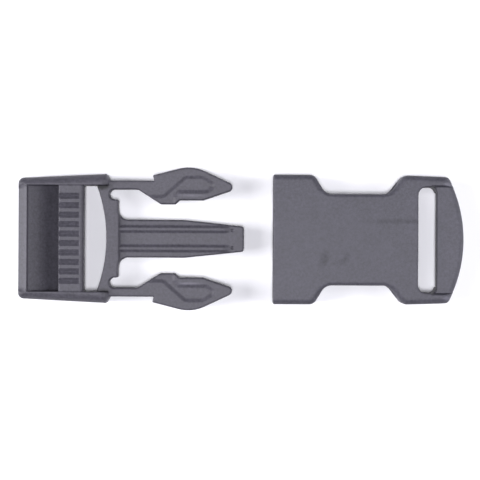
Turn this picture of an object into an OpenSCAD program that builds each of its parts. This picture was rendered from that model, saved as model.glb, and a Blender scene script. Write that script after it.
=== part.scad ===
// Side release buckle for 25 mm webbing: a plug with two spring arms and the socket that it
// clicks into. Both halves lie flat, unfastened, end to end along X. Millimetres, +Z up.
// Origin: middle of the whole length and width, on the surface that the halves lie on.

/* [Webbing] */
// Width of the webbing that both ends take
webbing_w = 25; // [20:0.5:30]
// Room beside the webbing in the plug's openings, both sides together
opening_room = 1; // [0.4:0.1:2]
// Room beside the webbing in the socket's slot, both sides together
slot_room = 1; // [0.4:0.1:2]
// Gap under the ribbed bar, through which the webbing passes
strap_gap = 2.3; // [1.6:0.1:3]

/* [Heights] */
// Height of the cross wall and the arms
insert_h = 4.8; // [4.4:0.1:6]
// Play above and below the insert inside the socket
play_z = 0.2; // [0.1:0.05:0.4]
// Thickness of the socket's top and bottom plates at their edges
plate_t = 1.7; // [1.2:0.1:2.4]
// How much higher the socket's top is along its middle
crown_h = 0.4; // [0.1:0.1:0.8]

/* [Plug frame] */
// Length of the frame, from the shoulder to the outer end
frame_l = 22.2; // [20:0.1:26]
// Thickness of a rail at the outer end
rail_t = 1.8; // [1.5:0.05:3]
// Thickness of a rail at the shoulder
rail_root_t = 2.85; // [2.4:0.05:4]
// Rounding of the rails' upper outer edges
rail_r = 1.8; // [0.5:0.1:2.2]
// Rounding of the frame's two outer corners, seen from above
frame_corner_r = 1.4; // [0.5:0.1:2]
// Thickness of the outer bar along the buckle
outer_bar_t = 2.2; // [1.4:0.1:3]
// Height of the outer bar, measured down from the top of the rails
outer_bar_h = 4; // [2.5:0.1:5]
// Height of the step from the outer bar down to the sloping plate
lip_step = 1.3; // [0.6:0.1:2]
// Thickness of the sloping plate
lip_t = 1.5; // [1.2:0.1:2]
// How far the sloping plate reaches under the ribbed bar
lip_under = 0.5; // [0.2:0.1:1.5]
// Slant of the shoulder's outer corner along the buckle
shoulder_slant = 0.8; // [0.2:0.05:1.2]
// Width of that slant across the buckle
shoulder_slant_w = 1.3; // [0.5:0.1:1.5]

/* [Ribbed bar] */
// Width of the ribbed bar along the buckle
bar_w = 6.1; // [5:0.1:7]
// Distance from the ribbed bar to the shoulder plane
bar_to_shoulder = 6.25; // [5.5:0.05:7.5]
// How far the top of the ribbed bar lies below the top of the rails
bar_below = 0.2; // [0:0.1:0.8]
// Distance from one groove to the next
groove_pitch = 2.31; // [1.8:0.01:3]
// Width of the ridge left between two grooves
ridge_w = 0.74; // [0.5:0.02:1]
// Depth of a groove
groove_d = 0.6; // [0.4:0.1:1.2]
// Lip that closes the grooves towards the window
groove_lip = 0.95; // [0.6:0.05:1.5]
// Flat pad at each end of the ribbed bar
bar_pad = 1.6; // [1:0.1:3]

/* [Cross wall and tongue] */
// How far the cross wall reaches past the shoulder, into the socket
insert_l = 2.1; // [1.8:0.1:3]
// Thickness of the cross wall in its middle
cross_wall_t = 2.85; // [2.4:0.05:4]
// Radius of the cross wall's hollow side, at the window
cross_wall_r = 36.9; // [30:0.1:60]
// Radius of the round end of the notch beside each arm
notch_r = 1.25; // [0.9:0.05:1.3]
// How far the middle of that round end lies behind the cross wall's face
notch_in = 0.9; // [0.6:0.05:1.1]
// Length of the tongue, from the shoulder plane to its tip
tongue_l = 33; // [31:0.1:36]
// Width of the tongue where it is parallel
tongue_w = 9.3; // [8.4:0.1:9.8]
// Width of the tongue at its tip
tongue_tip_w = 6.2; // [5:0.1:8]
// Where the tongue begins to narrow, from the shoulder plane
tongue_taper_x = 18.5; // [15:0.1:22]
// Radius of the fillet between the tongue and the cross wall
tongue_root_r = 2.3; // [1:0.1:3]
// Thickness of the tongue between and outside its ribs
tongue_t = 2.8; // [1.8:0.1:3.6]
// Width of a rib along the tongue
tongue_rib_w = 1.26; // [0.6:0.02:1.6]
// How far a rib rises above the tongue
tongue_rib_rise = 0.5; // [0.3:0.1:1]
// Distance between the middles of the tongue's two ribs
tongue_rib_gap = 4.76; // [3:0.02:5]
// Where the ribs run out before the tongue's tip
rib_end = 2.9; // [1:0.1:4]
// Length over which a rib slopes down at its end
rib_slope = 2.4; // [0.5:0.1:3]

/* [Arms] */
// Play between an arm and the collar's side wall
arm_play = 0.15; // [0.1:0.05:0.3]
// Thickness of an arm's beam across the buckle
arm_t = 2.15; // [2:0.05:2.6]
// Where an arm bends, from the shoulder plane
flex_x = 2.7; // [2.4:0.1:3.2]
// Place of the barb's edge, from the shoulder plane
barb_x = 10.6; // [10:0.1:12]
// Length of the arm's head, from the barb's edge to the tip
head_l = 19.55; // [18:0.05:20.5]
// Depth of the head across the buckle, over bulge and hump
head_w = 9; // [8:0.1:9.5]
// Depth of the dished relief on the upper and lower face of the head
dish_d = 0.4; // [0.3:0.1:1]
// Play of the round knuckle in its cup
knuckle_play = 0.05; // [0.03:0.01:0.1]

/* [Socket] */
// Thickness of the collar's side walls
collar_wall_t = 1.5; // [1.2:0.1:2.2]
// How much wider the collar is than the plug's shoulder, both sides together
collar_over = 0.1; // [0:0.1:0.6]
// How far the waist is set in from the collar on each side
waist_in = 4.7; // [3.5:0.1:5]
// Run of the sloping side from the collar down to the waist
collar_slope = 2.75; // [2:0.05:4]
// Run of the sloping side from the waist out to the end block
end_slope = 3.6; // [2.5:0.1:5]
// How far that slope starts before the end of the side window
end_slope_back = 2.5; // [2:0.1:4]
// Rounding of the waist's outward corners, seen from above
waist_r = 2.1; // [1:0.1:2.3]
// Rounding of the waist's inward corners, seen from above
waist_inner_r = 2.9; // [1:0.1:3.2]
// Gap between the shoulder and the mouth when fastened
shoulder_gap = 0.2; // [0.1:0.05:0.5]
// Play between the barb and the collar's catch face when fastened
latch_play = 0.3; // [0.1:0.05:0.5]
// Room beyond the tip of the arm and of the tongue when fastened
tip_room = 0.8; // [0.4:0.1:1.5]
// Solid wall between the hollow and the webbing slot
end_wall_t = 1.8; // [1.4:0.1:3]
// Width of the webbing slot along the buckle
slot_w = 4.75; // [4.2:0.05:6]
// Thickness of the rails beside the slot at the end block
end_rail_t = 2.85; // [2:0.05:4]
// How much thinner those rails are at the lugs
end_rail_taper = 0.4; // [0:0.1:1]
// Length of the lugs beside the end bar, from the slot
lug_l = 3.45; // [2:0.05:5]
// Width of the end bar in its middle
end_bar_w = 6.65; // [5:0.05:9]
// Radius of the end bar's outer curve
end_arc_r = 33; // [29:0.5:45]
// How far the end bar's top lies below the edge of the socket's top
end_bar_drop = 1.5; // [0.5:0.1:2.2]
// How far the end bar's underside is raised for the webbing
end_bar_lift = 3.6; // [0:0.1:4]
// Rounding of the socket's upper edges
socket_r = 1.3; // [0.5:0.1:1.6]
// Where the two guide ribs inside the socket begin, from the mouth
guide_x = 20; // [18:0.5:24]
// Thickness of a guide rib
guide_t = 0.8; // [0.6:0.05:1]
// Play between the tongue and a guide rib
guide_play = 0.15; // [0.1:0.05:0.3]

/* [Layout] */
// Distance from the plug's shoulder to the socket's mouth, as they lie
apart = 40.2; // [36:0.1:60]

/* [Hidden] */
$fn = 96;
EPS = 0.01;
OVER = 1;
ARC_STEPS = 5;
plastic = "#6c6a75";

body_h = insert_h + 2 * play_z + 2 * plate_t;
mid_z = body_h / 2;
insert_z = mid_z - insert_h / 2;
opening_h = (webbing_w + opening_room) / 2;
outer_h = opening_h + rail_t;
shoulder_h = opening_h + rail_root_t;
bar_x1 = -bar_to_shoulder;
bar_x0 = bar_x1 - bar_w;
bar_top = body_h - bar_below;
groove_count = floor((2 * (opening_h - bar_pad) + ridge_w) / groove_pitch);
opening_x0 = -frame_l + outer_bar_t;
lip_top = body_h - lip_step;
lip_end_x = bar_x0 + lip_under;
bar_z0 = lip_t + strap_gap;

collar_h = shoulder_h + collar_over / 2;
hollow_h = collar_h - collar_wall_t;
beam_out = hollow_h - arm_play;
beam_in = beam_out - arm_t;
beam_mid = (beam_out + beam_in) / 2;
notch_h = beam_in - notch_r;
notch_x = insert_l - notch_in;
knuckle_r = arm_t / 2 + 0.05;
cup_r = knuckle_r + knuckle_play;
arm_l = barb_x + head_l;

catch_x = barb_x - shoulder_gap - latch_play;
window_x1 = arm_l - shoulder_gap + tip_room;
hollow_l = tongue_l - shoulder_gap + tip_room;
slot_x0 = hollow_l + end_wall_t;
slot_x1 = slot_x0 + slot_w;
slot_h = (webbing_w + slot_room) / 2;
end_h = slot_h + end_rail_t;
lug_x = slot_x1 + lug_l;
socket_l = slot_x1 + end_bar_w;
waist_h = collar_h - waist_in;
hollow_z = mid_z - insert_h / 2 - play_z;
hollow_top = mid_z + insert_h / 2 + play_z;
guide_in = tongue_w / 2 + guide_play - tongue_taper(guide_x);

total_l = frame_l + apart + socket_l;
shoulder_x = frame_l - total_l / 2;
mouth_x = shoulder_x + apart;

// Head of an arm, from the beam's outer face: along the head from the barb, as a share of
// head_l; outwards, as a share of head_w; rounding in millimetres
HEAD = [
    [0.017, 0, 0.15],
    [0, 0.15, 0.25],
    [0.497, 0.428, 9.4],
    [1.095, -0.183, 1.12],
    [0.634, -0.527, 0.8],
    [0.339, -0.527, 0.3],
    [0.28, -0.641, 0.4],
    [0.1, -0.641, 0.8]
];
// The slope of the beam up to the hump begins this share of head_l before the barb
SLOPE_START = 0.189;
// Relief on the head, in the columns of HEAD
DISH = [
    [-0.03, -0.41, 0],
    [0.131, -0.41, 1.5],
    [0.408, 0.12, 2],
    [0.634, 0.12, 2.5],
    [0.808, -0.11, 1],
    [0.69, -0.347, 2],
    [0.332, -0.347, 0.3],
    [0.28, -0.46, 0],
    [0.28, -0.76, 0],
    [0.043, -0.76, 0]
];

function unit(v) = v / norm(v);
function flat(p) = [p.x, p.y];

// How much narrower half of the tongue is at x than where it is parallel
function tongue_taper(x) = max(0, x + shoulder_gap - tongue_taper_x)
    * (tongue_w - tongue_tip_w) / 2 / (tongue_l - tongue_taper_x);

// Points of one corner b between its neighbours a and c, rounded with the radius in b[2]
function corner(a, b, c) =
    let (u = unit(flat(a) - flat(b)), v = unit(flat(c) - flat(b)),
         half = acos(max(-1, min(1, u * v))) / 2,
         room = min(norm(flat(a) - flat(b)), norm(flat(c) - flat(b))) * 0.95,
         r = min(b[2], room * tan(half)))
    r < EPS ? [flat(b)]
    : let (centre = flat(b) + unit(u + v) * r / sin(half),
           p = flat(b) + u * r / tan(half) - centre,
           q = flat(b) + v * r / tan(half) - centre,
           start = atan2(p.y, p.x),
           turn = (atan2(q.y, q.x) - start + 540) % 360 - 180)
      [for (i = [0 : ARC_STEPS])
          centre + r * [cos(start + turn * i / ARC_STEPS), sin(start + turn * i / ARC_STEPS)]];

// Closed outline through corners [x, y, r]
function rounded(c) = [for (i = [0 : len(c) - 1])
    each corner(c[(i + len(c) - 1) % len(c)], c[i], c[(i + 1) % len(c)])];

// Corners of one half, followed by the same corners mirrored in the X axis
function both_halves(c) = concat(c, [for (i = [len(c) - 1 : -1 : 0]) [c[i].x, -c[i].y, c[i][2]]]);

function head_points(table) = [for (c = table)
    [barb_x + c.x * head_l, beam_out + c.y * head_w, c[2]]];

// Prism along +X whose section is what a rounded edge of radius r leaves of a square corner;
// the edge runs along the X axis and the solid lies at -Y, -Z of it
module edge_cutter(length, r) {
    section = concat([[OVER, -r], [OVER, OVER], [-r, OVER]],
        [for (i = [0 : ARC_STEPS]) [-r + r * sin(90 * i / ARC_STEPS), -r + r * cos(90 * i / ARC_STEPS)]]);
    rotate([90, 0, 90]) linear_extrude(height = length) polygon(section);
}

// Box over x and z that spans the width 2 * h, centred on the X axis
module span(x0, x1, h, z0, z1) {
    translate([x0, -h, z0]) cube([x1 - x0, 2 * h, z1 - z0]);
}

// Extrudes an outline drawn in x and z across the width 2 * h
module across(h) {
    translate([0, h, 0]) rotate([90, 0, 0]) linear_extrude(height = 2 * h) children();
}

// Rails and outer bar of the plug
module frame_ring() {
    taper = atan2(shoulder_h - outer_h, frame_l - shoulder_slant);
    outline = both_halves([
        [-frame_l, outer_h, frame_corner_r],
        [-shoulder_slant, shoulder_h, 0.2],
        [0, shoulder_h - shoulder_slant_w, 0.1]
    ]);
    difference() {
        linear_extrude(height = body_h) polygon(rounded(outline));
        span(opening_x0, OVER, opening_h, -OVER, body_h + OVER);
        span(-frame_l - OVER, opening_x0 + EPS, opening_h, -OVER, body_h - outer_bar_h);
        for (side = [0, 1]) mirror([0, side, 0])
            translate([-frame_l - OVER, outer_h - OVER * tan(taper), body_h])
                rotate([0, 0, taper]) edge_cutter(frame_l + 2 * OVER, rail_r);
        translate([-frame_l, -outer_h - OVER, body_h])
            rotate([0, 0, 90]) edge_cutter(2 * (outer_h + OVER), outer_bar_t / 2);
    }
}

// Plate that slopes from the outer bar down under the ribbed bar
module lip_plate() {
    across(opening_h + EPS) polygon([
        [opening_x0 - EPS, lip_top],
        [lip_end_x - 0.4, lip_t],
        [lip_end_x, lip_t - 0.4],
        [lip_end_x, 0],
        [lip_end_x - 1, 0],
        [opening_x0 - EPS, lip_top - lip_t * 1.25]
    ]);
}

// Ribbed bar that grips the webbing
module ribbed_bar() {
    first = -(groove_count * groove_pitch - ridge_w) / 2;
    difference() {
        across(opening_h + EPS) polygon(rounded([
            [bar_x0, bar_z0, 0.6],
            [bar_x0, bar_top, 0.5],
            [bar_x1, bar_top, 0.7],
            [bar_x1, bar_z0, 0.6]
        ]));
        for (i = [0 : groove_count - 1])
            translate([bar_x0 - OVER, first + i * groove_pitch, bar_top - groove_d])
                cube([bar_w - groove_lip + OVER, groove_pitch - ridge_w, groove_d + OVER]);
    }
}

// Cross wall with the stubs that the arms grow from
module cross_wall() {
    stub_x = flex_x - 0.45;
    translate([0, 0, insert_z]) linear_extrude(height = insert_h) difference() {
        polygon(rounded(both_halves([
            [-shoulder_slant - 5, beam_out, 0],
            [stub_x, beam_out, 0],
            [stub_x, beam_in, 0],
            [notch_x, beam_in, 0],
            [notch_x, notch_h - notch_r, 0],
            [insert_l, notch_h - notch_r, 0.4]
        ])));
        for (side = [-1, 1]) translate([notch_x, side * notch_h]) circle(r = notch_r);
        translate([insert_l - cross_wall_t - cross_wall_r, 0]) circle(r = cross_wall_r, $fn = 180);
    }
}

// Tongue with its two ribs on each face
module tongue() {
    plan = both_halves([
        [insert_l - OVER, tongue_w / 2 + tongue_root_r, 0],
        [insert_l, tongue_w / 2 + tongue_root_r, 0],
        [insert_l + 0.05, tongue_w / 2 + 0.02, tongue_root_r],
        [tongue_taper_x, tongue_w / 2, 4],
        [tongue_l, tongue_tip_w / 2, 0.6]
    ]);
    translate([0, 0, mid_z - tongue_t / 2]) linear_extrude(height = tongue_t) polygon(rounded(plan));
    rib_x = tongue_l - rib_end;
    rib_half = tongue_t / 2 + tongue_rib_rise;
    for (side = [-1, 1]) translate([0, side * tongue_rib_gap / 2, mid_z])
        across(tongue_rib_w / 2) polygon([
            [insert_l - OVER, -rib_half],
            [rib_x - rib_slope, -rib_half],
            [rib_x, -tongue_t / 2],
            [rib_x, tongue_t / 2],
            [rib_x - rib_slope, rib_half],
            [insert_l - OVER, rib_half]
        ]);
}

// Plug without its arms: one moulding
module plug_frame() {
    color(plastic) translate([shoulder_x, 0, 0]) difference() {
        union() {
            frame_ring();
            lip_plate();
            ribbed_bar();
            cross_wall();
            tongue();
        }
        for (side = [-1, 1]) translate([flex_x, side * beam_mid, -OVER])
            cylinder(r = cup_r, h = body_h + 2 * OVER);
    }
}

// One spring arm, at +Y: round knuckle, thin beam, and the head with barb, bulge and hump
module arm() {
    outline = concat([
        [flex_x, beam_in, 0],
        [flex_x, beam_out, 0]
    ], head_points(HEAD), [
        [barb_x - SLOPE_START * head_l, beam_in, 2]
    ]);
    difference() {
        translate([0, 0, insert_z]) union() {
            linear_extrude(height = insert_h) polygon(rounded(outline));
            translate([flex_x, beam_mid, 0]) cylinder(r = knuckle_r, h = insert_h);
        }
        for (z = [insert_z - OVER, insert_z + insert_h - dish_d]) translate([0, 0, z])
            linear_extrude(height = dish_d + OVER) polygon(rounded(head_points(DISH)));
    }
}

module arm_left() {
    color(plastic) translate([shoulder_x, 0, 0]) arm();
}

module arm_right() {
    color(plastic) translate([shoulder_x, 0, 0]) mirror([0, 1, 0]) arm();
}

// Outline of the socket from above
module socket_plan() {
    corner_x = catch_x - 0.1;
    waist_x0 = corner_x + collar_slope;
    waist_x1 = window_x1 - end_slope_back;
    intersection() {
        polygon(rounded(both_halves([
            [0, collar_h, 0.7],
            [corner_x, collar_h, waist_r],
            [waist_x0, waist_h, waist_inner_r],
            [waist_x1, waist_h, waist_inner_r],
            [waist_x1 + end_slope, end_h, waist_r],
            [lug_x, end_h - end_rail_taper, 1.6],
            [lug_x + 0.5, slot_h + 0.4, 0.4],
            [socket_l + OVER, slot_h - 1, 0]
        ])));
        translate([socket_l - end_arc_r, 0]) circle(r = end_arc_r, $fn = 180);
    }
}

// Section of the socket across the buckle, crowned on top
module socket_section() {
    h = max(collar_h, end_h) + EPS;
    steps = 6;
    crown = [for (i = [-steps + 1 : steps - 1])
        [-h * i / steps, body_h + crown_h * (1 - pow(i / steps, 2)), 0]];
    rotate([90, 0, 90]) linear_extrude(height = socket_l + OVER) polygon(rounded(concat(
        [[-h, 0, 0.8], [h, 0, 0.8], [h, body_h, socket_r]],
        [for (i = [len(crown) - 1 : -1 : 0]) [-crown[i].x, crown[i].y, 0]],
        [[-h, body_h, socket_r]])));
}

// The hollow that takes the insert: collar, open side windows, and room for the tips
module hollow_plan() {
    difference() {
        union() {
            translate([-OVER, -hollow_h]) square([catch_x + 2 * OVER, 2 * hollow_h]);
            translate([catch_x, -collar_h - OVER])
                square([window_x1 - catch_x, 2 * (collar_h + OVER)]);
            polygon(rounded(both_halves([
                [window_x1 - OVER, hollow_h - 0.4, 0],
                [window_x1 + 0.2, hollow_h - 0.4, 0.2],
                [hollow_l, hollow_h - 3, 0.8]
            ])));
        }
        for (side = [0, 1]) mirror([0, side, 0])
            translate([guide_x, guide_in]) square([hollow_l - guide_x + OVER, guide_t]);
    }
}

// Webbing slot
module slot_plan() {
    polygon(rounded(both_halves([
        [slot_x0, slot_h, 2.1],
        [slot_x1, slot_h, 0.9]
    ])));
}

module socket() {
    color(plastic) translate([mouth_x, 0, 0]) difference() {
        intersection() {
            linear_extrude(height = body_h + crown_h + OVER) socket_plan();
            socket_section();
        }
        translate([0, 0, hollow_z]) linear_extrude(height = hollow_top - hollow_z) hollow_plan();
        translate([0, 0, -OVER]) linear_extrude(height = body_h + 3 * OVER) slot_plan();
        span(slot_x1 - EPS, socket_l + OVER, slot_h, body_h - end_bar_drop, body_h + 2 * OVER);
        span(slot_x1 - EPS, socket_l + OVER, slot_h, -OVER, end_bar_lift);
    }
}

plug_frame();
arm_left();
arm_right();
socket();
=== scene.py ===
"""Looks of a side release buckle that lies unfastened on a white surface: the plug with its two spring
arms on the left, the socket on the right.

Each moulding is described as a distance field in millimetres, because every edge of a moulded part is
rounded: outlines seen from above and from the side are combined with rounded joins and cuts, and the zero
surface of the field is meshed. Lengths of the plug run from its shoulder plane, those of the socket from
its mouth.
"""
import math

import bmesh
import bpy
import numpy as np
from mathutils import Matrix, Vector


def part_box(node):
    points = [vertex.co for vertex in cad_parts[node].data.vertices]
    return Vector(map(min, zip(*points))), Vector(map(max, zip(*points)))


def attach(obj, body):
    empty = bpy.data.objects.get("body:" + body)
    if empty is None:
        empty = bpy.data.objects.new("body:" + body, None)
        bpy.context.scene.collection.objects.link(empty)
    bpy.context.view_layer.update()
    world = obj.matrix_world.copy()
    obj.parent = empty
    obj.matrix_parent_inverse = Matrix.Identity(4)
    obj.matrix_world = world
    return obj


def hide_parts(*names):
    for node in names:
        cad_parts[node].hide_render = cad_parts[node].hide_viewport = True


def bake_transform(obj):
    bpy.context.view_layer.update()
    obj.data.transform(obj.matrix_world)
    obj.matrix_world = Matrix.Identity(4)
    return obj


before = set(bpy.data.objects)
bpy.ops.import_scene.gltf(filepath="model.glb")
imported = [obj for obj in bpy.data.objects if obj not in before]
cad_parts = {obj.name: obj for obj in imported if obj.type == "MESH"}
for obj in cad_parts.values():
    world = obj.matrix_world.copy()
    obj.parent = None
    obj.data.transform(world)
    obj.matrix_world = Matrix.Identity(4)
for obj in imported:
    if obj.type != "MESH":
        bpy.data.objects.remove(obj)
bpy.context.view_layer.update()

MM = 0.001
# How far a shape that cuts, or one that is cut away, reaches past the part
PAST = 1.0

# In the names, L is a length along X, W a width, T a thickness, R a radius and D a depth. H is a height, but
# from the plug frame to the socket it is half a width along Y, except in OUTER_BAR_H.

# Common heights and rounded edges
INSERT_H = 4.8
PLAY_Z = 0.2
PLATE_T = 1.7
CROWN_H = 0.4
BODY_H = INSERT_H + 2 * PLAY_Z + 2 * PLATE_T
MID_Z = BODY_H / 2
HOLLOW_HALF = INSERT_H / 2 + PLAY_Z
# Edges round openings seen from above, and inner edges of cuts
OPEN_EDGE_R = 0.35
INNER_EDGE_R = 0.3

# Plug frame
WEBBING_W = 25.0
WEBBING_ROOM = 1.0
FRAME_L = 22.2
OPENING_H = (WEBBING_W + WEBBING_ROOM) / 2
OUTER_H = OPENING_H + 1.8
SHOULDER_H = OPENING_H + 2.85
SHOULDER_R = 0.25
RAIL_R = 2.4
RAIL_INNER_R = 0.35
SLANT = 0.8
SLANT_W = 1.3
SLANT_R = 0.2
FRAME_FOOT_R = 0.9
OUTER_BAR_T = 2.2
OUTER_BAR_H = 4.0
OUTER_BAR_R = 0.6
OUTER_BAR_INNER_R = 0.15
OUTER_BAR_FOOT_R = 0.5
OUTER_BAR_FALL = 1.1
OUTER_BAR_CREASE_R = 0.1
CORNER_R = 1.4
# Width of the strip where the outer bar's edges turn into the rails'
CORNER_BLEND = 2.4
OPENING_X0 = -FRAME_L + OUTER_BAR_T
# The sloping plate under the ribbed bar: its thickness, that measured upright, its top at the outer bar,
# and how far it runs into the outer bar and the rails
LIP_T = 1.5
LIP_UPRIGHT_T = LIP_T * 1.25
LIP_TOP = BODY_H - 1.3
LIP_ROOT = 0.6
RAIL_ROOT = 0.3

# Ribbed bar
BAR_X1 = -6.25
BAR_X0 = BAR_X1 - 6.1
BAR_TOP = BODY_H - 0.2
BAR_Z0 = LIP_T + 2.3
BAR_R = 0.6
BAR_BACK_R = 0.9
LIP_END_X = BAR_X0 + 0.5
GROOVE_PITCH = 2.31
RIDGE_W = 0.74
GROOVE_D = 0.62
GROOVE_LIP = 0.95
GROOVE_END = 0.5
GROOVE_EDGE_R = 0.05
# Steepness of the field in the grooves, as a share of that elsewhere
GROOVE_STEEP = 0.85
GROOVES = 10

# Cross wall and tongue
INSERT_L = 2.1
CROSS_WALL_T = 2.85
CROSS_WALL_R = 36.9
INSERT_EDGE_R = 0.45
NOTCH_R = 1.25
TONGUE_L = 33.0
TONGUE_W = 9.3
TONGUE_TIP_W = 6.2
TONGUE_TIP_R = 0.7
TAPER_X = 18.5
TAPER_R = 6.0
TONGUE_ROOT_R = 2.6
TONGUE_T = 2.8
TONGUE_EDGE_R = 0.45
RIB_W = 1.25
RIB_MID = 2.38
RIB_RISE = 0.5
RIB_END = 2.9
RIB_SLOPE = 2.4
RIB_FLANK = 0.85
ROOT_FILLET = 0.7
# Small pits at the ribs' ends
PIT_X = 30.2
PIT_MID = 2.15
PIT_R = 0.5
PIT_D = 0.3

# Arms
COLLAR_H = SHOULDER_H + 0.05
HOLLOW_H = COLLAR_H - 1.5
BEAM_OUT = HOLLOW_H - 0.15
BEAM_IN = BEAM_OUT - 2.15
BEAM_START_X = -6.0
NOTCH_H = BEAM_IN - NOTCH_R
NOTCH_X = INSERT_L - 0.9
BARB_X = 10.6
HEAD_L = 19.55
HEAD_W = 9.0
ARM_L = BARB_X + HEAD_L
DISH_D = 0.42
DISH_SLOPE = 1.25
DISH_INSET = 0.2
# Where the arm's piece starts, on the straight beam
ARM_CUT_X = 2.6
# The outline of an arm's head from the beam's outer face: along the head from the barb, as a share of
# HEAD_L; outwards, as a share of HEAD_W; rounding in millimetres
HEAD = (
    (0.017, 0.0, 0.15),
    (0.0, 0.15, 0.25),
    (0.497, 0.428, 9.4),
    (1.095, -0.183, 1.12),
    (0.634, -0.527, 0.8),
    (0.339, -0.527, 0.3),
    (0.28, -0.641, 0.4),
    (0.1, -0.641, 0.8),
)
# Where the beam's inner face starts to slope towards the head, as a share of HEAD_L before the barb
SLOPE_START = 0.189
SLOPE_R = 2.0
# The dished relief on the head, in the columns of HEAD
DISH = (
    (-0.03, -0.41, 0.0),
    (0.131, -0.41, 1.5),
    (0.408, 0.12, 2.0),
    (0.634, 0.12, 2.5),
    (0.808, -0.11, 1.0),
    (0.69, -0.32, 2.0),
    (0.332, -0.32, 0.3),
    (0.28, -0.46, 0.0),
    (0.28, -0.76, 0.0),
    (0.043, -0.76, 0.0),
)

# Socket
SHOULDER_GAP = 0.2
TIP_ROOM = 0.8
CATCH_X = BARB_X - SHOULDER_GAP - 0.3
WINDOW_X1 = ARM_L - SHOULDER_GAP + TIP_ROOM
HOLLOW_L = TONGUE_L - SHOULDER_GAP + TIP_ROOM
SLOT_X0 = HOLLOW_L + 1.8
SLOT_X1 = SLOT_X0 + 4.75
SLOT_H = (WEBBING_W + WEBBING_ROOM) / 2
SLOT_R = 2.1
SLOT_OUTER_R = 1.4
END_H = SLOT_H + 2.85
LUG_X = SLOT_X1 + 3.45
SOCKET_L = SLOT_X1 + 6.65
WAIST_H = COLLAR_H - 4.7
END_ARC_R = 33.0
END_ARC_EDGE_R = 0.3
# The end bar starts inside the slot's outline, runs into the lugs and has its own top and foot edges
END_BAR_X = SLOT_X1 - 1.5
END_BAR_ROOT = 0.5
END_BAR_TOP = BODY_H - 1.5
END_BAR_TOP_R = 1.2
END_BAR_LIFT = 3.6
END_BAR_FOOT_R = 0.8
LUG_FALL = 0.5
LUG_FALL_L = 1.9
LUG_DRAFT = 0.2
GUIDE_X = 20.0
GUIDE_IN = 4.62
GUIDE_T = 0.8
GUIDE_EDGE_R = 0.15
MOUTH_R = 0.35
FOOT_R = 0.8
EDGE_R = 1.4
# Top edges beside the waist, and how far that stretch lies inside the windows' ends
WAIST_R = 0.9
WAIST_MARGIN = 1.5
WAIST_BLEND = 2.0

# Fillets where one form runs into another
LIP_FILLET = 0.3
BAR_FILLET = 0.25
TONGUE_FILLET = 0.15
INSERT_FILLET = 0.2
END_BAR_FILLET = 0.15

# Outlines as corners: x, y or z, and the rounding. Those seen from above are the +Y halves.
FRAME_PLAN = (
    (-FRAME_L, OUTER_H, CORNER_R),
    (-SLANT, SHOULDER_H, SHOULDER_R),
    (0, SHOULDER_H - SLANT_W, SLANT_R),
)
LIP_PROFILE = (
    (OPENING_X0 - LIP_ROOT, LIP_TOP, 0),
    (OPENING_X0, LIP_TOP, 0.3),
    (LIP_END_X, LIP_T, 0.6),
    (LIP_END_X, 0, 0.4),
    (LIP_END_X - 1, 0, 0.8),
    (OPENING_X0 - LIP_ROOT, LIP_TOP - LIP_UPRIGHT_T, 0),
)
BAR_PROFILE = (
    (BAR_X0, BAR_Z0, BAR_R),
    (BAR_X0, BAR_TOP, BAR_R),
    (BAR_X1, BAR_TOP, BAR_BACK_R),
    (BAR_X1, BAR_Z0, BAR_R),
)
TONGUE_PLAN = (
    (INSERT_L - PAST, TONGUE_W / 2 + TONGUE_ROOT_R, 0),
    (INSERT_L, TONGUE_W / 2 + TONGUE_ROOT_R, 0),
    (INSERT_L + 0.02, TONGUE_W / 2, TONGUE_ROOT_R),
    (TAPER_X, TONGUE_W / 2, TAPER_R),
    (TONGUE_L, TONGUE_TIP_W / 2, TONGUE_TIP_R),
)
SOCKET_PLAN = (
    (-3 * PAST, COLLAR_H, 0),
    (CATCH_X - 0.1, COLLAR_H, 2.1),
    (CATCH_X - 0.1 + 2.75, WAIST_H, 2.9),
    (WINDOW_X1 - 2.5, WAIST_H, 2.9),
    (WINDOW_X1 + 1.1, END_H, 2.1),
    (LUG_X, END_H - 0.4, 2.2),
    (LUG_X + 0.5, SLOT_H + 0.4, 0.4),
    (SOCKET_L + PAST, SLOT_H - 1, 0),
)
SLOT_PLAN = (
    (SLOT_X0, SLOT_H, SLOT_R),
    (SLOT_X1, SLOT_H, SLOT_OUTER_R),
)
# The end of the hollow, which takes the arms' tips
TIPS_PLAN = (
    (WINDOW_X1 - PAST, HOLLOW_H - 0.4, 0),
    (WINDOW_X1 + 0.2, HOLLOW_H - 0.4, 0.2),
    (HOLLOW_L, HOLLOW_H - 3, 0.8),
)

# Marks on the socket: centre and radii in the model's frame, and the strength. The sink line over a guide
# rib, its faint shading painted in as a darker line, two scuffs, then painted highlights on the lugs and
# painted light on the end bar, which is drawn lighter all over.
SOCKET_SCUFFS_AND_PAINTED_LIGHT = (
    # Painted shade: the sink line's shading drawn as a darker line
    ((38.6, 4.5, 9.0), (11.0, 0.8, 3.0), 0.22),
    ((20.6, -3.6, 9.0), (1.3, 1.5, 3.0), 0.1),
    ((20.1, -5.0, 9.0), (1.4, 1.9, 3.0), 0.17),
    ((19.6, -6.5, 9.0), (1.2, 1.5, 3.0), 0.1),
    ((25.8, -3.9, 9.0), (1.1, 1.6, 3.0), 0.1),
    ((25.0, -5.1, 9.0), (1.3, 1.3, 3.0), 0.12),
    ((23.7, -5.7, 9.0), (1.7, 1.0, 3.0), 0.12),
    # Painted highlights on the lugs' ends
    ((51.0, 13.6, 8.6), (2.0, 0.7, 2.0), -1.0),
    ((50.9, -14.2, 8.6), (1.8, 0.7, 2.0), -1.0),
    # Painted light: the whole end bar drawn lighter
    ((54.0, 0.0, 7.3), (9.0, 26.0, 4.0), -0.07),
)
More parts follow.
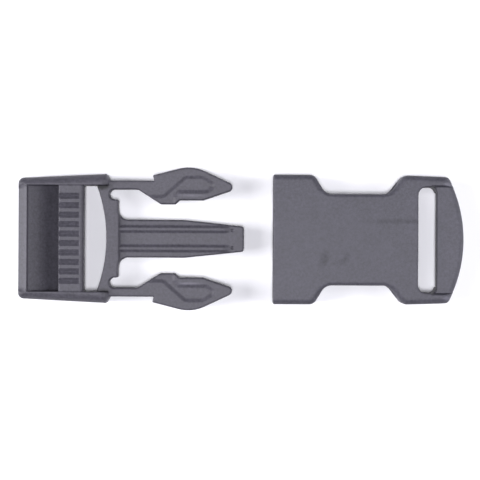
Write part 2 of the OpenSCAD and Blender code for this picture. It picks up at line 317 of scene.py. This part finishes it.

# Painted shade and light on the plug, in the same columns as the socket's marks: painted shade in the
# corners between the cross wall and the rails, then painted highlights in strips on a rail's end, the outer
# bar and the arms' heads
PLUG_PAINTED_SHADE_AND_HIGHLIGHTS = (
    # Painted shade in the corners beside the rails
    ((-34.2, 12.75, 7.0), (3.0, 1.1, 2.0), 0.7),
    ((-34.2, -12.85, 7.0), (3.0, 0.9, 2.0), 0.5),
    # Painted highlights: a rail's end, the outer bar's inner edge, the arms' rims
    ((-32.8, 14.3, 8.4), (0.4, 1.3, 2.0), -0.5),
    ((-52.8, 0.0, 8.6), (0.6, 30.0, 1.5), -0.12),
    ((-12.6, 10.7, 6.9), (4.5, 0.5, 2.0), -0.5),
    ((-12.6, -11.0, 6.9), (4.5, 0.5, 2.0), -0.5),
)

# Size of the mesh cells, the grid's empty room above and below the part, half the width of the plug's
# grid, and the share of the triangles that is kept
PLUG_CELL = GROOVE_PITCH / 15
SOCKET_CELL = 0.2
ROOM = 0.6
PLUG_ROOM_Y = 18.6
PLUG_SHARE = 0.56
SOCKET_SHARE = 0.62
# Angle in degrees past which neighbouring faces meet in a sharp edge
SHARP = 24
# Step in millimetres for a field's slope
SLOPE_STEP = 0.004
# The least that a point's move is divided by, for the square of the slope
LEAST_STEEP = 0.25
CUBE = [(i, j, k) for i in (0, 1) for j in (0, 1) for k in (0, 1)]

# The plastic: colour of each moulding, mean roughness and scales of its noises per metre
PLUG_COLOR = (0.050, 0.0474, 0.0592)
SOCKET_COLOR = (0.0485, 0.0468, 0.0592)
ROUGHNESS = 0.56
CLOUD_SCALE = 260.0
GRAIN_SCALE = 1500.0
BLOTCH_SCALE = 600.0
# Shares of cloud and grain in the tone, and its darkest and lightest as shares of the colour
CLOUD_SHARE = 0.2
GRAIN_SHARE = 0.8
TONE_LOW = 0.1
TONE_HIGH = 1.9
# How far the roughness swings with the tone, and how much a mark adds to it
GLOSS_SPREAD = 0.1
MARK_DULLNESS = 0.3
PLASTIC_IOR = 1.48
SPECULAR = 0.43
# Bump of the grain, its depth in metres
GRAIN_STRENGTH = 0.5
GRAIN_DEPTH = 0.00004

# Surroundings. Lights: place and size in metres, power in watts, colour
FLOOR_HALF = 2.0
FLOOR_COLOR = (0.84, 0.84, 0.85, 1)
FLOOR_ROUGHNESS = 0.9
FLOOR_SPECULAR = 0.1
ROOM_COLOR = (0.86, 0.86, 1.0, 1)
ROOM_STRENGTH = 0.06
LIGHTS = (
    ("overhead", (0.0, -0.05, 0.8), (0.12, 0.12), 4.85, (0.985, 0.98, 1.04)),
    ("upper_left", (-0.60, 0.0, 0.50), (0.3, 0.4), 3.6, (0.99, 0.985, 1.02)),
    ("lower_left", (-0.75, 0.0, 0.24), (0.35, 0.35), 5.2, (0.99, 0.985, 1.02)),
    ("upper_right", (0.60, 0.0, 0.50), (0.3, 0.4), 2.3, (0.985, 0.985, 1.03)),
    ("lower_right", (0.75, 0.0, 0.24), (0.35, 0.35), 2.0, (0.985, 0.985, 1.03)),
)

# Camera: its height in metres over the plane at CAMERA_PLANE, on which one of the picture's PICTURE_W
# pixels is PIXEL millimetres wide, its place over that plane, and its roll in degrees
CAMERA_H = 0.400
CAMERA_PLANE = 6.5 * MM
CAMERA_X = -0.33 * MM
CAMERA_Y = -0.2 * MM
CAMERA_ROLL = 0.3
PIXEL = 0.2454
PICTURE_W = 480
SENSOR_W = 36.0


# Outlines

def corner_points(a, b, c, radius, steps):
    """Points of corner b between its neighbours a and c, rounded as far as its sides allow."""
    a, b, c = (np.array(p[:2], float) for p in (a, b, c))
    u = (a - b) / np.linalg.norm(a - b)
    v = (c - b) / np.linalg.norm(c - b)
    half = math.acos(float(np.clip(u @ v, -1, 1))) / 2
    room = min(np.linalg.norm(a - b), np.linalg.norm(c - b)) * 0.95
    r = min(radius, room * math.tan(half))
    if r < 0.01:
        return [b]
    centre = b + (u + v) / np.linalg.norm(u + v) * r / math.sin(half)
    p = b + u * r / math.tan(half) - centre
    q = b + v * r / math.tan(half) - centre
    start = math.atan2(p[1], p[0])
    turn = (math.atan2(q[1], q[0]) - start + 3 * math.pi) % (2 * math.pi) - math.pi
    angles = [start + turn * i / steps for i in range(steps + 1)]
    return [centre + r * np.array((math.cos(t), math.sin(t))) for t in angles]


def rounded(corners, steps=10):
    """Closed outline through corners (x, y, radius)."""
    n = len(corners)
    return [p for i in range(n)
            for p in corner_points(corners[i - 1], corners[i], corners[(i + 1) % n], corners[i][2], steps)]


def half_plan(corners):
    """Outline of a shape that is the same on both sides of the X axis, from the corners of its +Y half."""
    first, last = corners[0], corners[-1]
    return rounded([*corners, (last[0], -5.0, 0), (first[0], -5.0, 0)])


def head_points(table):
    """Corners in millimetres of an outline on an arm's head, from its table of shares."""
    return [(BARB_X + x * HEAD_L, BEAM_OUT + y * HEAD_W, r) for x, y, r in table]


# Distance fields: negative inside. x, y and z are arrays that broadcast together.

def outline(points, x, y):
    """Signed distance in a plane to a closed outline."""
    x, y = np.broadcast_arrays(x, y)
    nearest = np.full(x.shape, np.inf, np.float32)
    inside = np.zeros(x.shape, bool)
    for (ax, ay), (bx, by) in zip(points, points[1:] + points[:1]):
        ex, ey = bx - ax, by - ay
        length = ex * ex + ey * ey
        if length < 1e-12:
            continue
        wx, wy = x - ax, y - ay
        t = np.clip((wx * ex + wy * ey) / length, 0, 1)
        nearest = np.minimum(nearest, (wx - ex * t) ** 2 + (wy - ey * t) ** 2)
        if ay != by:
            inside ^= ((ay > y) != (by > y)) & (wx < ex * wy / ey)
    return np.where(inside, -1, 1) * np.sqrt(nearest)


def meet(a, b, r=0.0):
    """Intersection of two fields, its edge rounded with radius r."""
    if np.max(r) <= 0:
        return np.maximum(a, b)
    return np.minimum(np.maximum(a, b), -r) + np.hypot(np.maximum(a + r, 0), np.maximum(b + r, 0))


def join(a, b, r=0.0):
    """Union of two fields, with a fillet of radius r where they meet."""
    if r <= 0:
        return np.minimum(a, b)
    return np.maximum(np.minimum(a, b), r) - np.hypot(np.maximum(r - a, 0), np.maximum(r - b, 0))


def cut(a, b, r=0.0):
    """Field a without field b, the edge between them rounded with radius r."""
    return meet(a, -b, r)


def fade(v, width):
    """Smooth step from 1 below zero to 0 above it, over a strip of that width."""
    t = np.clip(0.5 - v / width, 0, 1)
    return t * t * (3 - 2 * t)


def box(*fields):
    """Plain intersection of several fields."""
    result = fields[0]
    for f in fields[1:]:
        result = np.maximum(result, f)
    return result


# Plug

def frame_ring(x, y, z):
    """Rails and outer bar."""
    side = np.abs(y)
    plan = outline(half_plan(FRAME_PLAN), x, side)
    bar = fade(side - OPENING_H, CORNER_BLEND)
    bar_r = CORNER_R + (OUTER_BAR_R - CORNER_R) * bar
    radius = bar_r + (RAIL_R - bar_r) * np.clip((x + FRAME_L) / OUTER_BAR_T, 0, 1)
    ring = meet(meet(plan, z - BODY_H, radius), -z, FRAME_FOOT_R)
    tilted = z - BODY_H + (OPENING_X0 - x) * OUTER_BAR_FALL / OUTER_BAR_T * bar
    ring = meet(ring, tilted, OUTER_BAR_CREASE_R)
    inner = np.where(side < OPENING_H - RAIL_INNER_R, OUTER_BAR_INNER_R, RAIL_INNER_R)
    opening = box(OPENING_X0 - x, side - OPENING_H)
    ring = cut(ring, opening, inner)
    under = box(x - OPENING_X0 - PAST, side - OPENING_H, z - (BODY_H - OUTER_BAR_H))
    return cut(ring, under, OUTER_BAR_FOOT_R)


def lip_plate(x, y, z):
    """Plate that slopes from the outer bar down under the ribbed bar."""
    return box(outline(rounded(LIP_PROFILE), x, z), np.abs(y) - OPENING_H - RAIL_ROOT)


def ribbed_bar(x, y, z):
    """Bar that grips the webbing, grooved along X on its top."""
    bar = outline(rounded(BAR_PROFILE), x, z)
    index = np.clip(np.round(y / GROOVE_PITCH - 0.5) + 0.5, 0.5 - GROOVES / 2, GROOVES / 2 - 0.5)
    half = (GROOVE_PITCH - RIDGE_W) / 2
    depth = GROOVE_D * np.clip(1 - np.abs(y - index * GROOVE_PITCH) / half, 0, 1)
    depth = depth * fade(x - BAR_X1 + GROOVE_LIP, GROOVE_END)
    bar = meet(bar, (z - BAR_TOP + depth) * GROOVE_STEEP, GROOVE_EDGE_R)
    return box(bar, np.abs(y) - OPENING_H - RAIL_ROOT)


def insert(x, y, z):
    """Cross wall and both arms."""
    side = np.abs(y)
    plan = outline(half_plan([
        (BEAM_START_X, BEAM_OUT, 0),
        *head_points(HEAD),
        (BARB_X - SLOPE_START * HEAD_L, BEAM_IN, SLOPE_R),
        (NOTCH_X - NOTCH_R, BEAM_IN, NOTCH_R),
        (NOTCH_X - NOTCH_R, NOTCH_H - NOTCH_R, NOTCH_R),
        (INSERT_L, NOTCH_H - NOTCH_R, INSERT_EDGE_R),
    ]), x, side)
    dish = outline(rounded(head_points(DISH)), x, side)
    level = np.abs(z - MID_Z) - INSERT_H / 2 + DISH_D * fade(dish + DISH_INSET, DISH_SLOPE)
    body = meet(plan, level, INSERT_EDGE_R)
    window = np.hypot(x - (INSERT_L - CROSS_WALL_T - CROSS_WALL_R), y) - CROSS_WALL_R
    return cut(body, window, OPEN_EDGE_R)


def tongue(x, y, z):
    """Tongue with a pair of ribs on each face."""
    side = np.abs(y)
    plan = outline(half_plan(TONGUE_PLAN), x, side)
    step = (INSERT_H - TONGUE_T) / 2
    ribs = fade(np.abs(side - RIB_MID) - RIB_W / 2, RIB_FLANK)
    ribs = ribs * fade(x - TONGUE_L + RIB_END + RIB_SLOPE / 2, RIB_SLOPE)
    root = fade(x - INSERT_L - ROOT_FILLET / 2, ROOT_FILLET)
    pits = fade(np.hypot(x - PIT_X, side - PIT_MID) - PIT_R / 2, PIT_R)
    half = TONGUE_T / 2 + np.maximum(RIB_RISE * ribs, step * root) - PIT_D * pits
    return meet(plan, np.abs(z - MID_Z) - half, TONGUE_EDGE_R)


def plug_field(x, y, z):
    """The whole plug, from its shoulder plane."""
    field = join(frame_ring(x, y, z), lip_plate(x, y, z), LIP_FILLET)
    field = join(field, ribbed_bar(x, y, z), BAR_FILLET)
    body = join(insert(x, y, z), tongue(x, y, z), TONGUE_FILLET)
    return np.maximum(join(field, body, INSERT_FILLET), -z)


# Socket

def socket_shell(x, y, z):
    """The socket's outside, with the low end bar and the slot, without the hollow."""
    side = np.abs(y)
    plan = outline(half_plan(SOCKET_PLAN), x, side)
    plan = meet(plan, np.hypot(x - (SOCKET_L - END_ARC_R), y) - END_ARC_R, END_ARC_EDGE_R)
    top = BODY_H + CROWN_H * (1 - (y / COLLAR_H) ** 2) - LUG_FALL * np.maximum(x - LUG_X + LUG_FALL_L, 0)
    from_waist = np.abs(x - (CATCH_X + WINDOW_X1) / 2) - (WINDOW_X1 - CATCH_X) / 2
    edge_r = EDGE_R + (WAIST_R - EDGE_R) * fade(from_waist + WAIST_MARGIN, WAIST_BLEND)
    body = meet(meet(plan, z - top, edge_r), -z, FOOT_R)
    body = meet(body, -x, MOUTH_R)

    # The bar that the webbing is sewn round is lower than the lugs at its ends
    bar_zone = box(END_BAR_X - x, side - SLOT_H - LUG_DRAFT * (z - END_BAR_TOP))
    body = cut(body, bar_zone, INNER_EDGE_R)
    bar = meet(meet(plan, z - END_BAR_TOP, END_BAR_TOP_R), END_BAR_LIFT - z, END_BAR_FOOT_R)
    body = join(body, box(bar, side - SLOT_H - END_BAR_ROOT, END_BAR_X - x), END_BAR_FILLET)

    return cut(body, outline(half_plan(SLOT_PLAN), x, side), OPEN_EDGE_R)


def socket_hollow(x, y, z):
    """The room that takes the insert, open at the windows, with the guide ribs left standing."""
    side = np.abs(y)
    collar = box(side - HOLLOW_H, x - CATCH_X - PAST)
    windows = box(CATCH_X - x, x - WINDOW_X1)
    tips = outline(half_plan(TIPS_PLAN), x, side)
    room = join(join(collar, windows), tips)
    guides = box(GUIDE_X - x, np.abs(side - GUIDE_IN - GUIDE_T / 2) - GUIDE_T / 2)
    room = cut(room, guides, GUIDE_EDGE_R)
    return meet(room, np.abs(z - MID_Z) - HOLLOW_HALF, INNER_EDGE_R)


def socket_field(x, y, z):
    """The whole socket, from its mouth."""
    return np.maximum(cut(socket_shell(x, y, z), socket_hollow(x, y, z), INNER_EDGE_R), -z)


# Meshes

def cell_corner(grid, corner):
    """The grid's values at one corner of every cell."""
    return grid[tuple(slice(d, size - 1 + d) for d, size in zip(corner, grid.shape))]


def cell_points(f, mixed):
    """Mean of the surface's crossings with the edges of each cell that it crosses, counted in cells. mixed
    marks those cells."""
    cells = np.argwhere(mixed)
    total = np.zeros((len(cells), 3))
    hits = np.zeros(len(cells))
    for a in CUBE:
        for axis in range(3):
            if a[axis]:
                continue
            b = tuple(1 if i == axis else a[i] for i in range(3))
            fa = cell_corner(f, a)[mixed]
            fb = cell_corner(f, b)[mixed]
            crosses = (fa < 0) != (fb < 0)
            t = np.where(crosses, fa / np.where(crosses, fa - fb, 1), 0)
            point = np.tile(np.array(a, float), (len(cells), 1))
            point[:, axis] = t
            total[crosses] += point[crosses]
            hits += crosses
    return cells + total / hits[:, None]


def cell_quads(inside, number):
    """A quad that faces outwards round each grid edge that the surface crosses. number gives each cell's
    vertex."""
    quads = []
    for axis in range(3):
        u, v = (axis + 1) % 3, (axis + 2) % 3
        step = [0, 0, 0]
        step[axis] = 1
        low_side = inside[tuple(slice(0, n - d) for n, d in zip(inside.shape, step))]
        high_side = inside[tuple(slice(d, n) for n, d in zip(inside.shape, step))]
        at = np.argwhere(low_side != high_side)
        at = at[(at[:, u] > 0) & (at[:, u] < number.shape[u])]
        at = at[(at[:, v] > 0) & (at[:, v] < number.shape[v])]
        ring = []
        for du, dv in ((1, 1), (0, 1), (0, 0), (1, 0)):
            c = at.copy()
            c[:, u] -= du
            c[:, v] -= dv
            ring.append(number[c[:, 0], c[:, 1], c[:, 2]])
        ring = np.stack(ring, 1)
        outward = low_side[at[:, 0], at[:, 1], at[:, 2]]
        quads.append(np.where(outward[:, None], ring, ring[:, ::-1]))
    return np.concatenate(quads)


def surface(field, low, high, cell):
    """Mesh of the zero surface of a field in a box, as vertices and quads: one vertex in each cell that
    the surface crosses."""
    axes = [cell * np.arange(math.floor(a / cell), math.ceil(b / cell) + 1) for a, b in zip(low, high)]
    x, y, z = np.meshgrid(*axes, indexing="ij", sparse=True)
    f = np.broadcast_to(field(x, y, z), [len(a) for a in axes]).astype(np.float32)
    inside = f < 0
    count = sum(cell_corner(inside, c).astype(np.int8) for c in CUBE)
    mixed = (count > 0) & (count < len(CUBE))
    number = np.full(mixed.shape, -1, np.int64)
    number[mixed] = np.arange(np.count_nonzero(mixed))
    vertices = cell_points(f, mixed) * cell + np.array([a[0] for a in axes])
    return settle(field, vertices, cell), cell_quads(inside, number)


def settle(field, points, cell):
    """Moves points onto the zero surface, each along the field's own slope and by at most half a cell."""
    x, y, z = points.T
    value = field(x, y, z)
    step = SLOPE_STEP
    slope = np.stack([field(x + step, y, z), field(x, y + step, z), field(x, y, z + step)], 1)
    slope = (slope - value[:, None]) / step
    steep = np.maximum((slope ** 2).sum(1), LEAST_STEEP)
    return points - np.clip(slope * (value / steep)[:, None], -cell / 2, cell / 2)


def mesh_object(name, shape, offset_x, share, material):
    """Object from a shape's vertices in millimetres and its quads. Only a share of its triangles is kept:
    flat stretches lose most."""
    vertices, faces = shape
    mesh = bpy.data.meshes.new(name)
    points = (vertices + np.array((offset_x, 0, 0))) * MM
    mesh.vertices.add(len(points))
    mesh.vertices.foreach_set("co", points.astype(np.float32).ravel())
    mesh.loops.add(faces.size)
    mesh.loops.foreach_set("vertex_index", faces.ravel().astype(np.int32))
    mesh.polygons.add(len(faces))
    mesh.polygons.foreach_set("loop_start", np.arange(0, faces.size, 4, dtype=np.int32))
    mesh.update(calc_edges=True)
    mesh.validate()
    piece = bpy.data.objects.new(name, mesh)
    bpy.context.scene.collection.objects.link(piece)

    thinner = piece.modifiers.new("thinner", "DECIMATE")
    thinner.ratio = share
    thinner.use_collapse_triangulate = True
    depsgraph = bpy.context.evaluated_depsgraph_get()
    thin = bpy.data.meshes.new_from_object(piece.evaluated_get(depsgraph))
    piece.modifiers.clear()
    piece.data = thin
    bpy.data.meshes.remove(mesh)
    thin.name = name
    thin.polygons.foreach_set("use_smooth", np.ones(len(thin.polygons), bool))
    thin.set_sharp_from_angle(angle=math.radians(SHARP))
    thin.materials.append(material)
    return piece


def on_arm_side(face, side):
    """Whether a face of the plug lies further out than the notch, on the side +1 or -1 of the X axis."""
    return side * face.calc_center_median().y > NOTCH_H * MM


def arm_faces(whole, side, plane_x):
    """Faces that can be walked to from the tip of one arm without crossing the plane."""
    tip = max((f for f in whole.faces if on_arm_side(f, side)), key=lambda f: f.calc_center_median().x)
    found = {tip.index}
    stack = [tip]
    while stack:
        for edge in stack.pop().edges:
            for face in edge.link_faces:
                if face.index not in found and face.calc_center_median().x > plane_x:
                    found.add(face.index)
                    stack.append(face)
    return found


def closed_part(whole, kept, name, material):
    """Mesh of the faces whose indices are kept, each cut closed with a flat cap."""
    part = whole.copy()
    doomed = [f for f in part.faces if f.index not in kept]
    bmesh.ops.delete(part, geom=doomed, context="FACES")
    rim = [e for e in part.edges if e.is_boundary]
    for cap in bmesh.ops.holes_fill(part, edges=rim, sides=0)["faces"]:
        cap.smooth = False
        for edge in cap.edges:
            edge.smooth = False
    mesh = bpy.data.meshes.new(name)
    part.to_mesh(mesh)
    part.free()
    mesh.materials.append(material)
    return mesh


def split_arms(piece, plane_x, names):
    """Cuts both arms off the plug across their straight beams. Returns the +Y arm and the -Y arm."""
    material = piece.data.materials[0]
    whole = bmesh.new()
    whole.from_mesh(piece.data)
    for side in (1, -1):
        faces = [f for f in whole.faces if on_arm_side(f, side)]
        bounds = {e for f in faces for e in f.edges} | {v for f in faces for v in f.verts}
        bmesh.ops.bisect_plane(whole, geom=[*faces, *bounds], plane_co=(plane_x, 0, 0), plane_no=(1, 0, 0))
    whole.faces.index_update()

    owned = [arm_faces(whole, side, plane_x) for side in (1, -1)]
    rest = {f.index for f in whole.faces} - owned[0] - owned[1]
    piece.data = closed_part(whole, rest, piece.name, material)
    arms = []
    for name, faces in zip(names, owned):
        arm = bpy.data.objects.new(name, closed_part(whole, faces, name, material))
        bpy.context.scene.collection.objects.link(arm)
        arms.append(arm)
    whole.free()
    return arms


# Materials

def node_of(tree, kind, **values):
    """New node with its settings and input values; _ in an input's name stands for a space."""
    node = tree.nodes.new(kind)
    for key, value in values.items():
        if hasattr(node, key):
            setattr(node, key, value)
        else:
            node.inputs[key.replace("_", " ")].default_value = value
    return node


def noise(tree, coords, scale, detail=2.0, roughness=0.5):
    """Value of a noise texture."""
    node = node_of(tree, "ShaderNodeTexNoise", Scale=scale, Detail=detail, Roughness=roughness)
    tree.links.new(coords, node.inputs["Vector"])
    return node.outputs["Fac"]


def math_node(tree, operation, a, b):
    """Result of an operation on two numbers or node outputs."""
    node = node_of(tree, "ShaderNodeMath", operation=operation)
    for value, socket in zip((a, b), node.inputs):
        if isinstance(value, (int, float)):
            socket.default_value = value
        else:
            tree.links.new(value, socket)
    return node.outputs[0]


def spot(tree, coords, centre, radii):
    """1 at the centre of an ellipsoid, falling to 0 at its surface. Lengths in millimetres."""
    place = node_of(tree, "ShaderNodeVectorMath", operation="SUBTRACT")
    tree.links.new(coords, place.inputs[0])
    place.inputs[1].default_value = [c * MM for c in centre]
    scale = node_of(tree, "ShaderNodeVectorMath", operation="DIVIDE")
    tree.links.new(place.outputs[0], scale.inputs[0])
    scale.inputs[1].default_value = [r * MM for r in radii]
    ball = node_of(tree, "ShaderNodeTexGradient", gradient_type="SPHERICAL")
    tree.links.new(scale.outputs[0], ball.inputs["Vector"])
    return ball.outputs["Fac"]


def wear_and_painted_light_tone(tree, coords, marks):
    """How much tone the marks take away, with a blotchy edge; the marks are scuffs, painted shade and
    painted highlights. A negative strength adds tone, for painted light.
    """
    blotch = noise(tree, coords, BLOTCH_SCALE, 1.0)
    wear_and_painted_light = 0.0
    for centre, radii, amount in marks:
        patchy = math_node(tree, "MULTIPLY", blotch, spot(tree, coords, centre, radii))
        wear_and_painted_light = math_node(tree, "ADD", wear_and_painted_light, math_node(tree, "MULTIPLY", patchy, 2 * amount))
    return wear_and_painted_light


def color_ramp(tree, tone, color):
    """Colour that goes from its darkest to its lightest as the tone goes from 0 to 1."""
    node = node_of(tree, "ShaderNodeValToRGB")
    for end, position, share in zip(node.color_ramp.elements, (0.0, 1.0), (TONE_LOW, TONE_HIGH)):
        end.position = position
        end.color = (*[c * share for c in color], 1)
    tree.links.new(tone, node.inputs["Fac"])
    return node.outputs["Color"]


def moulded_plastic(name, color, marks):
    """Dark moulded plastic: fine-grained skin, faint cloudy tone, slightly uneven gloss, and marks that are
    partly scuffs and partly painted shade and highlights.
    """
    material = bpy.data.materials.new(name)
    material.use_nodes = True
    tree = material.node_tree
    shader = tree.nodes["Principled BSDF"]
    coords = node_of(tree, "ShaderNodeTexCoord").outputs["Object"]

    cloud = noise(tree, coords, CLOUD_SCALE, 3.0)
    grain = noise(tree, coords, GRAIN_SCALE, 3.0, 0.7)
    cloudy = math_node(tree, "MULTIPLY", cloud, CLOUD_SHARE)
    grainy = math_node(tree, "MULTIPLY", grain, GRAIN_SHARE)
    # Tone of the scuffs and of the painted shade and highlights, also used on the roughness
    wear_and_painted_light = wear_and_painted_light_tone(tree, coords, marks)
    tone = math_node(tree, "SUBTRACT", math_node(tree, "ADD", cloudy, grainy), wear_and_painted_light)
    tree.links.new(color_ramp(tree, tone, color), shader.inputs["Base Color"])

    spread = math_node(tree, "MULTIPLY", tone, 2 * GLOSS_SPREAD)
    gloss = math_node(tree, "ADD", ROUGHNESS - GLOSS_SPREAD, spread)
    gloss = math_node(tree, "ADD", gloss, math_node(tree, "MULTIPLY", wear_and_painted_light, MARK_DULLNESS))
    tree.links.new(gloss, shader.inputs["Roughness"])
    shader.inputs["IOR"].default_value = PLASTIC_IOR
    shader.inputs["Specular IOR Level"].default_value = SPECULAR

    bump = node_of(tree, "ShaderNodeBump", Strength=GRAIN_STRENGTH, Distance=GRAIN_DEPTH)
    tree.links.new(grain, bump.inputs["Height"])
    tree.links.new(bump.outputs["Normal"], shader.inputs["Normal"])
    return material


# Surroundings

def area_light(name, place, size, power, color):
    """Soft rectangular light that faces the origin."""
    light = bpy.data.lights.new(name, "AREA")
    light.shape = "RECTANGLE"
    light.size, light.size_y = size
    light.energy = power
    light.color = color
    lamp = bpy.data.objects.new(name, light)
    lamp.location = place
    lamp.rotation_euler = (Vector((0, 0, 0)) - Vector(place)).to_track_quat("-Z", "Y").to_euler()
    bpy.context.scene.collection.objects.link(lamp)


def white_floor():
    """Plain pale surface that both halves lie on."""
    mesh = bpy.data.meshes.new("floor")
    half = FLOOR_HALF
    corners = [(-half, -half, 0), (half, -half, 0), (half, half, 0), (-half, half, 0)]
    mesh.from_pydata(corners, [], [(0, 1, 2, 3)])
    floor = bpy.data.objects.new("floor", mesh)
    bpy.context.scene.collection.objects.link(floor)
    material = bpy.data.materials.new("floor_white")
    material.use_nodes = True
    shader = material.node_tree.nodes["Principled BSDF"]
    shader.inputs["Base Color"].default_value = FLOOR_COLOR
    shader.inputs["Roughness"].default_value = FLOOR_ROUGHNESS
    shader.inputs["Specular IOR Level"].default_value = FLOOR_SPECULAR
    mesh.materials.append(material)


def room_light():
    """Faint even light from all sides, and colours shown without a filmic curve."""
    world = bpy.data.worlds.new("room")
    world.use_nodes = True
    background = world.node_tree.nodes["Background"]
    background.inputs["Color"].default_value = ROOM_COLOR
    background.inputs["Strength"].default_value = ROOM_STRENGTH
    bpy.context.scene.world = world
    bpy.context.scene.view_settings.view_transform = "Standard"
    bpy.context.scene.view_settings.look = "None"


def camera():
    """Straight above, at the height that the photograph's view of the inner walls asks for."""
    data = bpy.data.cameras.new("camera")
    data.sensor_width = SENSOR_W
    data.lens = SENSOR_W * CAMERA_H / (PICTURE_W * PIXEL * MM)
    view = bpy.data.objects.new("camera", data)
    view.location = (CAMERA_X, CAMERA_Y, CAMERA_PLANE + CAMERA_H)
    view.rotation_euler = (0, 0, math.radians(CAMERA_ROLL))
    bpy.context.scene.collection.objects.link(view)
    bpy.context.scene.camera = view


# The buckle

def make_plug(shoulder_x):
    """The plug in one piece, with its arms."""
    low = (-FRAME_L - PAST, -PLUG_ROOM_Y, -ROOM)
    high = (TONGUE_L + PAST, PLUG_ROOM_Y, BODY_H + ROOM)
    plastic = moulded_plastic("plug_plastic", PLUG_COLOR, PLUG_PAINTED_SHADE_AND_HIGHLIGHTS)
    shape = surface(plug_field, low, high, PLUG_CELL)
    return mesh_object("plug", shape, shoulder_x, PLUG_SHARE, plastic)


def make_socket(mouth_x):
    """The socket in one piece."""
    low = (-PAST, -COLLAR_H - PAST, -ROOM)
    high = (SOCKET_L + PAST, COLLAR_H + PAST, BODY_H + CROWN_H + ROOM)
    plastic = moulded_plastic("socket_plastic", SOCKET_COLOR, SOCKET_SCUFFS_AND_PAINTED_LIGHT)
    shape = surface(socket_field, low, high, SOCKET_CELL)
    return mesh_object("socket_body", shape, mouth_x, SOCKET_SHARE, plastic)


def dress(node):
    """Hides the CAD node that the piece stands in for."""
    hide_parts(node)


def bend_along_beam(arm):
    """Bakes the arm's placement into its mesh."""
    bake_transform(arm)


def main():
    """The whole scene, fitted to where the CAD has the plug's shoulder and the socket's mouth."""
    shoulder_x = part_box("plug_frame")[0][0] / MM + FRAME_L
    mouth_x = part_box("socket")[0][0] / MM
    plug = make_plug(shoulder_x)
    socket = make_socket(mouth_x)

    cut_x = (shoulder_x + ARM_CUT_X) * MM
    arms = split_arms(plug, cut_x, ("left_arm", "right_arm"))
    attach(plug, "plug")
    dress("plug_frame")
    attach(socket, "socket")
    dress("socket")
    for arm, side, body in zip(arms, (1, -1), ("arm_left", "arm_right")):
        bend_along_beam(arm)
        dress(body)

    white_floor()
    for light in LIGHTS:
        area_light(*light)
    room_light()
    camera()


main()
